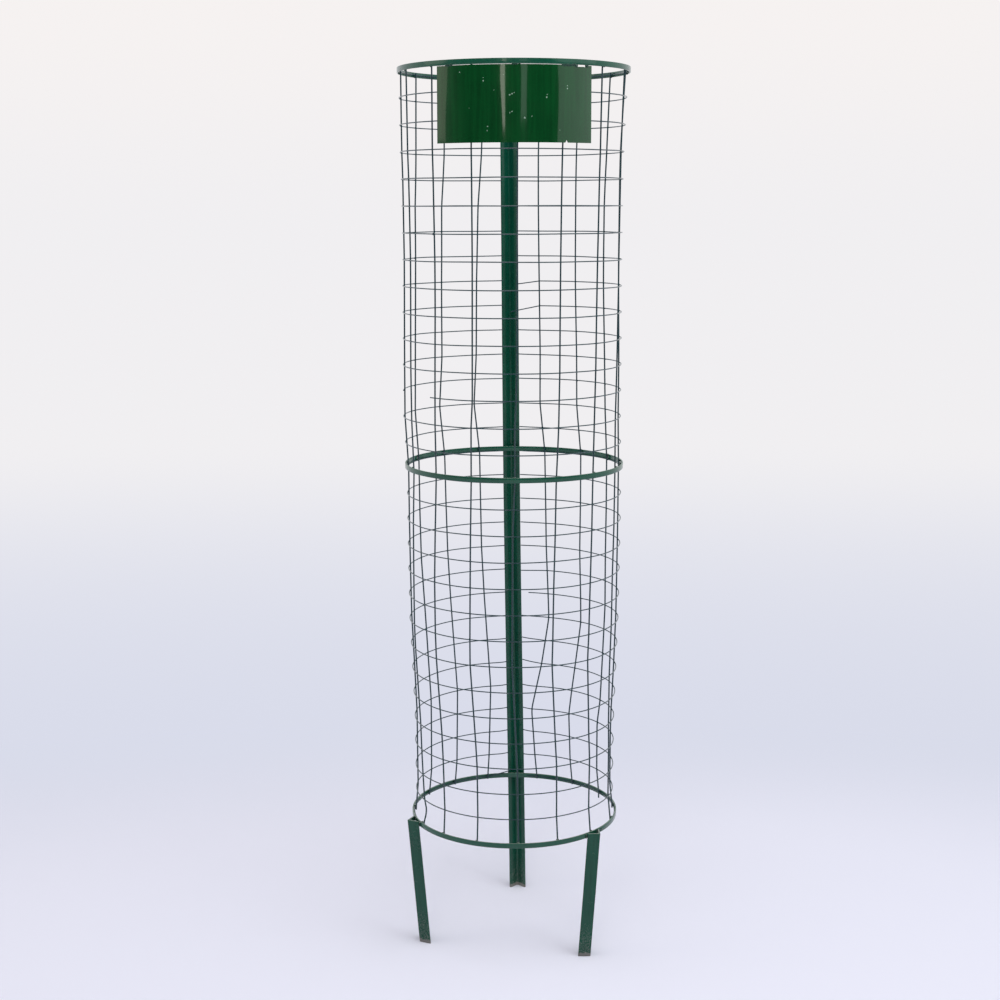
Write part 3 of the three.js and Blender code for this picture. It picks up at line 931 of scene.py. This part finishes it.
class GUARD_OT_plate(bpy.types.Operator):
    """Bends the blank name plate to the hoop, with shallow waves, a nick and chips in its paint"""

    bl_idname = "guard.plate"
    bl_label = "Bend the Name Plate"

    def execute(self, context):
        plate = context.scene.guard_plate
        start, end = plate_span()
        top = SEAM_TOP - plate.seam
        low = PLATE_LOW.z
        across = math.ceil((end - start) * PLATE_RADIUS / plate.step)
        up = math.ceil((top - low) / plate.step)
        columns = [start + (end - start) * i / across for i in range(across + 1)]
        grid = []
        for azimuth in columns:
            aside = abs(azimuth - NICK) * PLATE_RADIUS
            bottom = low + max(0, NICK_HEIGHT * (1 - aside / (NICK_WIDTH / 2)))
            crest = top - self.gap(azimuth)
            grid.append([(azimuth, bottom + (crest - bottom) * j / up) for j in range(up + 1)])
        shell = Shell()
        chips = []
        self.face(shell, grid, plate, 0, chips)
        self.face(shell, grid, plate, plate.thickness, chips)
        self.rim(shell, across + 1, up + 1)
        made = piece("name_plate", shell, finish("Plate Enamel"), ["name_plate"])
        marks = made.data.attributes.new("chip", "FLOAT", "POINT")
        marks.data.foreach_set("value", chips)
        return {"FINISHED"}

    def gap(self, azimuth):
        """How far the top edge is below its highest, which is deep where it is burnt."""
        if BURN[0] < azimuth < BURN[1]:
            return BURN_DEPTH * (0.75 + 0.5 * noise.noise(Vector((azimuth * BURN_TEETH, 1, 4))))
        return SHEAR_DEPTH * (1 + noise.noise(Vector((azimuth * SHEAR_TEETH, 2, 9))))

    def face(self, shell, grid, plate, depth, chips):
        """One face of the sheet, set in by depth, and where its chips are."""
        for column in grid:
            points = []
            for azimuth, height in column:
                wave = plate.wave * wavy(azimuth * PLATE_RADIUS, height * 0.35, 0, WAVE_SIZE, 5)
                radius = PLATE_RADIUS - plate.wave - depth + wave
                points.append(on_circle(azimuth, radius, height))
                chips.append(self.chip(azimuth, height) if depth == 0 else 0.0)
            shell.add(points)

    def chip(self, azimuth, height):
        """1 in the middle of a chip or on the sheet's edge, fading to 0 round it."""
        across = azimuth * PLATE_RADIUS
        up = height - PLATE_LOW.z
        best = 0.0
        for right, high, size in CHIPS:
            away = math.hypot(across - right * MM, up - high * MM) / (size * MM)
            best = max(best, CHIP_FILL - away)
        edge = min(up, PLATE_HIGH.z - height)
        best = max(best, EDGE_WEAR - edge / EDGE_BAND)
        return min(max(best, 0.0), 1.0)

    def rim(self, shell, columns, rows):
        """The faces of both sides of the sheet, and the rim that joins them."""
        back = columns * rows
        for i in range(columns - 1):
            for j in range(rows - 1):
                a = i * rows + j
                shell.faces.append((a, a + rows, a + rows + 1, a + 1))
                shell.faces.append((back + a, back + a + 1, back + a + rows + 1, back + a + rows))
        bottom = [i * rows for i in range(columns)]
        right = [(columns - 1) * rows + j for j in range(1, rows)]
        top = [i * rows + rows - 1 for i in range(columns - 2, -1, -1)]
        left = list(range(rows - 2, 0, -1))
        loop = bottom + right + top + left
        for here, after in zip(loop, loop[1:] + loop[:1]):
            shell.faces.append((here, back + here, back + after, after))


# ---- welds --------------------------------------------------------------------------------------

FLANGE_GAP = 1.2 * MM            # from a flange's tip to the middle of its bead
BEAD_STEP = 2.6 * MM
BEAD_SIZE = 1.9 * MM
BEAD_INSET = 1.5 * MM            # from the hoop's lower edge to the foot of a bead
BEAD_TOP_INSET = 2.5 * MM
BEAD_OUT = 0.5 * MM              # how far out of the hoop's face a bead's middle is
SPATTERS = 5
WELD_SHARP = math.radians(75)
TACK_INSET = 0.7 * MM            # from the plate's face to the middles of its tacks
SAG = 1.4 * MM                   # at most, in the run at the right of the plate
WIRE_TACK_INSET = 1.4 * MM       # from the hoop's inner face to the middles of the wires' tacks
WIRE_TACK_EDGE = 0.6 * MM        # and from its edges
WIRE_REACH = 3 * MM              # from the wires' ends to the farthest tack
TACKS = {                        # azimuths in degrees, and half the width of a lump
    "plate_tack_left": ((-33.6, -32.6, -31.7, -30.9), 2.6 * MM),
    "plate_tack_middle": ((-0.7, 0.3, 1.1), 1.9 * MM),
    "plate_tack_right": (
        (22.9, 23.8, 24.6, 25.6, 26.4, 27.3, 28.2, 29.0, 29.9, 35.8, 36.1), 2.9 * MM,
    ),
}


def tip_azimuth(node, side_sign, height):
    """The azimuth at which the bead on a flange's tip stands, at a height."""
    facing = bar_facing(node)
    out = outwards(facing)
    foot, top = bar_end(node, out, False), bar_end(node, out, True)
    corner = foot.lerp(top, (height - foot.z) / (top.z - foot.z))
    flange = bpy.context.scene.guard_bars.angle_width / math.sqrt(2)
    return azimuth_of(corner - out * flange + sideways(facing) * side_sign * (flange + FLANGE_GAP))


class GUARD_OT_welds(bpy.types.Operator):
    """Lays the weld beads at the post, legs and plate, and the tacks of the wires on the hoops"""

    bl_idname = "guard.welds"
    bl_label = "Lay the Welds"

    def execute(self, context):
        random.seed(8)
        self.bars()
        self.plate_tacks(context.scene.guard_plate)
        self.wire_tacks()
        return {"FINISHED"}

    def finished(self, name, shell):
        nodes = [name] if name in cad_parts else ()
        piece(name, shell, finish("Weld Enamel"), nodes, sharp=WELD_SHARP)

    def bead(self, shell, azimuth, radius, low, high, size):
        """A row of overlapping lumps from low to high, as a hand-laid bead."""
        count = max(2, round((high - low) / BEAD_STEP))
        for step in range(count + 1):
            height = low + (high - low) * step / count
            stray = random.uniform(-0.35, 0.35) * MM / radius
            big = size * random.uniform(0.85, 1.2)
            axes = (sideways(azimuth) * big * 1.15, outwards(azimuth) * big * 0.9, UP * big * 0.95)
            shell.lump(on_circle(azimuth + stray, radius, height), axes, random.uniform(0, 90), detail=3)

    def bars(self):
        """Beads down both flange tips of each bar at each hoop that it meets."""
        joints = {
            "post_weld_top": ("rear_post", "top_hoop"),
            "post_weld_middle": ("rear_post", "middle_hoop"),
            "post_weld_bottom": ("rear_post", "bottom_hoop"),
            "left_leg_weld": ("left_leg", "bottom_hoop"),
            "right_leg_weld": ("right_leg", "bottom_hoop"),
        }
        for node, (bar, hoop_node) in joints.items():
            hoop = HOOPS[hoop_node]
            shell = Shell()
            low = hoop["height"] - BAR_HEIGHT / 2 + BEAD_INSET
            high = hoop["height"] + BAR_HEIGHT / 2 - BEAD_TOP_INSET
            for side_sign in (-1, 1):
                azimuth = tip_azimuth(bar, side_sign, hoop["height"])
                self.bead(shell, azimuth, hoop["radius"] + BEAD_OUT, low, high, BEAD_SIZE)
            if node == "right_leg_weld":
                self.spatter(shell, tip_azimuth(bar, 1, hoop["height"]), hoop)
            self.finished(node, shell)

    def spatter(self, shell, azimuth, hoop):
        """Lumps that ran along the hoop beside the right leg."""
        for step in range(1, SPATTERS + 1):
            place = azimuth + step * BEAD_STEP / hoop["radius"]
            size = random.uniform(1.1, 1.9) * MM
            axes = (sideways(place) * size * 1.3, outwards(place) * size * 0.6, UP * size)
            centre = on_circle(place, hoop["radius"], hoop["height"] + random.uniform(-2.5, 3) * MM)
            shell.lump(centre, axes, random.uniform(0, 90), rough=0.3, detail=3)

    def plate_tacks(self, plate):
        """Tacks over the seam between hoop and plate. The run at the right has sagged unevenly."""
        for name, (places, size) in TACKS.items():
            shell = Shell()
            for degrees in places:
                height = SEAM_TOP - plate.seam / 2
                if name == "plate_tack_right":
                    height -= random.uniform(0, SAG)
                self.tack(shell, math.radians(degrees), height, size)
            self.finished(name, shell)

    def tack(self, shell, azimuth, height, size):
        big = size * random.uniform(0.8, 1.15)
        axes = (sideways(azimuth) * big, outwards(azimuth) * big * 0.45, UP * big * 0.85)
        centre = on_circle(azimuth, PLATE_RADIUS - TACK_INSET, height + random.uniform(-0.5, 0.5) * MM)
        shell.lump(centre, axes, random.uniform(0, 90), rough=0.3, detail=3)

    def wire_tacks(self):
        """Lumps where the uprights are welded inside the hoops, showing at the hoops' edges."""
        for node, hoop in HOOPS.items():
            shell = Shell()
            for upright in UPRIGHTS:
                for edge in (-1, 1):
                    height = hoop["height"] + edge * (BAR_HEIGHT / 2 - WIRE_TACK_EDGE)
                    if not WIRE_FOOT - WIRE_REACH < height < WIRE_TOP + WIRE_REACH:
                        continue
                    azimuth = crossing(upright, height) + random.uniform(-1, 1) * MM / hoop["radius"]
                    size = random.uniform(1.7, 2.6) * MM
                    axes = (sideways(azimuth) * size * 1.2, outwards(azimuth) * size, UP * size * 0.9)
                    radius = hoop["radius"] - BAR_THICKNESS - WIRE_TACK_INSET
                    centre = on_circle(azimuth, radius, height)
                    shell.lump(centre, axes, random.uniform(0, 90), rough=0.25)
            self.finished(node.replace("hoop", "wire_tacks"), shell)


# ---- stage --------------------------------------------------------------------------------------

FLOOR_RADIUS = 14.0
FLOOR_FADE = (0.5, 1.4)          # distances over which the lit floor turns into a glow with painted shade
SHADE_GLOW_FADE = (0.8, 7.5)           # and over which that painted shade brightens to the horizon's colour
DIM_ROOM = (0.03, 0.035, 0.04, 1)
BRIGHT_SIDE = (0.85, 0.85, 0.88, 1)
CEILING = (0.5, 0.51, 0.53, 1)
LAMP_AIM = 0.9                   # height that the softboxes are aimed at
SOFTBOXES = (                    # name, place, size, power and tint
    ("overhead_softbox", (0.4, -1.2, 4.4), (3.4, 3.4), 100, (1, 1, 1)),
    ("left_softbox", (-3.8, -0.6, 2.9), (2.0, 2.6), 15, (1, 0.96, 0.76)),
    ("right_softbox", (3.2, -1.7, 2.8), (3.2, 2.6), 27, (0.88, 1, 0.95)),
)
WINDOW_DISTANCE = 4.6            # from the guard to the strips that shine in the plate
WINDOW_RISE = 1.28
WINDOW_HEIGHT = 2.2
WINDOWS = (                      # name, azimuth in degrees, width, power and tint
    ("left_window", -9.2, 0.3, 8, (1, 0.97, 0.85)),
    ("right_window", 8.6, 0.55, 4, (0.9, 1, 0.97)),
)


class GUARD_OT_stage(bpy.types.Operator):
    """Lays a plain pale floor, hangs soft lights and stands the camera in front of the guard"""

    bl_idname = "guard.stage"
    bl_label = "Set the Stage"

    def execute(self, context):
        stage = context.scene.guard_stage
        context.scene.view_settings.view_transform = "Standard"
        self.world(context.scene, stage)
        self.floor(stage)
        self.lights()
        self.camera(context.scene, stage)
        return {"FINISHED"}

    def world(self, scene, stage):
        """A pale backdrop to the eye. The steel sees a bright side behind it and a dim room in front."""
        world = bpy.data.worlds.new("Pale Studio")
        scene.world = world
        world.use_nodes = True
        world.node_tree.nodes.clear()
        wire = Wiring(world.node_tree)
        where = wire.node("ShaderNodeTexCoord").outputs["Generated"]
        parts = wire.node("ShaderNodeSeparateXYZ", {"Vector": where}).outputs
        behind = wire.ramp(parts["Y"], -0.75, 0.45)
        room = wire.mix(behind, DIM_ROOM, BRIGHT_SIDE)
        above = wire.ramp(parts["Z"], 0.25, 0.9)
        lit = wire.mix(above, room, CEILING)
        sky = wire.ramp(parts["Z"], -0.02, 0.12)
        backdrop = wire.mix(sky, opaque(stage.horizon), opaque(stage.backdrop))
        seen = wire.node("ShaderNodeLightPath").outputs["Is Camera Ray"]
        tint = wire.mix(seen, lit, backdrop)
        shade = wire.node("ShaderNodeBackground", {"Color": tint, "Strength": 1.0})
        wire.node("ShaderNodeOutputWorld", {"Surface": shade.outputs["Background"]})

    def floor(self, stage):
        """A wide disc that fades into a glow with painted shade, darker just behind the guard and paler
        towards the horizon.
        """
        mesh = bpy.data.meshes.new("floor")
        disc = bmesh.new()
        bmesh.ops.create_circle(disc, cap_ends=True, segments=96, radius=FLOOR_RADIUS)
        disc.to_mesh(mesh)
        disc.free()
        made = bpy.data.objects.new("floor", mesh)
        bpy.context.scene.collection.objects.link(made)
        made.location = (AXIS.x, AXIS.y, CAD_BOX[0].z - 0.2 * MM)
        material = bpy.data.materials.new("Pale Floor")
        material.use_nodes = True
        material.node_tree.nodes.clear()
        wire = Wiring(material.node_tree)
        flat = wire.place((0.5, 1, 0))
        away = wire.node("ShaderNodeVectorMath", {0: flat}, operation="LENGTH").outputs["Value"]
        fade = wire.ramp(away, *FLOOR_FADE)
        cloth = wire.node("ShaderNodeBsdfDiffuse", {"Color": opaque(stage.floor), "Roughness": 0.5})
        # Painted shade: past the lit cloth the floor glows, darker just behind the guard and paler far
        # off.
        distance = wire.ramp(away, *SHADE_GLOW_FADE)
        painted_shade_glow = wire.node("ShaderNodeEmission", {
            "Color": wire.mix(distance, opaque(stage.painted_shade_glow), opaque(stage.horizon)),
        })
        both = wire.node("ShaderNodeMixShader", {0: fade})
        wire.join(cloth.outputs[0], both.inputs[1])
        wire.join(painted_shade_glow.outputs[0], both.inputs[2])
        wire.node("ShaderNodeOutputMaterial", {"Surface": both.outputs[0]})
        mesh.materials.append(material)

    def lamp(self, name, place, aim, size, power, tint):
        light = bpy.data.lights.new(name, "AREA")
        light.shape = "RECTANGLE"
        light.size, light.size_y = size
        light.energy = power
        light.color = tint
        made = bpy.data.objects.new(name, light)
        bpy.context.scene.collection.objects.link(made)
        made.location = place
        made.rotation_mode = "QUATERNION"
        made.rotation_quaternion = (Vector(place) - Vector(aim)).to_track_quat("Z", "Y")
        made.visible_camera = False

    def lights(self):
        waist = Vector((AXIS.x, AXIS.y, LAMP_AIM))
        for name, place, size, power, tint in SOFTBOXES:
            self.lamp(name, place, waist, size, power, tint)
        centre = Vector((AXIS.x, AXIS.y, middle("name_plate").z + WINDOW_RISE))
        for name, degrees, width, power, tint in WINDOWS:
            place = centre + outwards(math.radians(degrees)) * WINDOW_DISTANCE
            self.lamp(name, place, centre, (width, WINDOW_HEIGHT), power, tint)

    def camera(self, scene, stage):
        data = bpy.data.cameras.new("camera")
        data.sensor_width = 36
        data.lens = stage.lens
        data.clip_start, data.clip_end = 0.05, 60
        made = bpy.data.objects.new("camera", data)
        scene.collection.objects.link(made)
        ground = Vector((AXIS.x, AXIS.y, CAD_BOX[0].z))
        made.location = ground + Vector((-stage.camera_aside, -stage.distance, stage.camera_height))
        turn = Matrix.Rotation(math.pi / 2 - stage.pitch, 4, "X") @ Matrix.Rotation(stage.roll, 4, "Z")
        made.rotation_euler = turn.to_euler()
        scene.camera = made


# ---- add-on -------------------------------------------------------------------------------------

STEPS = (
    GUARD_OT_stage, GUARD_OT_paint, GUARD_OT_hoops, GUARD_OT_rings, GUARD_OT_uprights, GUARD_OT_angles,
    GUARD_OT_plate, GUARD_OT_welds,
)


class GUARD_PT_panel(bpy.types.Panel):
    """The guard's steps in building order, with the settings that each reads"""

    bl_idname = "GUARD_PT_panel"
    bl_label = "Tree Guard"
    bl_space_type = "VIEW_3D"
    bl_region_type = "UI"
    bl_category = "Tree Guard"

    def draw(self, context):
        for step in STEPS:
            self.layout.operator(step.bl_idname)
        for name, group in SETTINGS.items():
            box = self.layout.box()
            for key in group.__annotations__:
                box.prop(getattr(context.scene, name), key)


def register():
    for group in SETTINGS.values():
        bpy.utils.register_class(group)
    for name, group in SETTINGS.items():
        setattr(bpy.types.Scene, name, bpy.props.PointerProperty(type=group))
    for step in STEPS:
        bpy.utils.register_class(step)
    bpy.utils.register_class(GUARD_PT_panel)


def unregister():
    bpy.utils.unregister_class(GUARD_PT_panel)
    for step in reversed(STEPS):
        bpy.utils.unregister_class(step)
    for name, group in SETTINGS.items():
        delattr(bpy.types.Scene, name)
        bpy.utils.unregister_class(group)


def main():
    register()
    bpy.ops.guard.stage()
    bpy.ops.guard.paint()
    bpy.ops.guard.hoops()
    bpy.ops.guard.rings()
    bpy.ops.guard.uprights()
    bpy.ops.guard.angles()
    bpy.ops.guard.plate()
    bpy.ops.guard.welds()


if __name__ == "__main__":
    main()
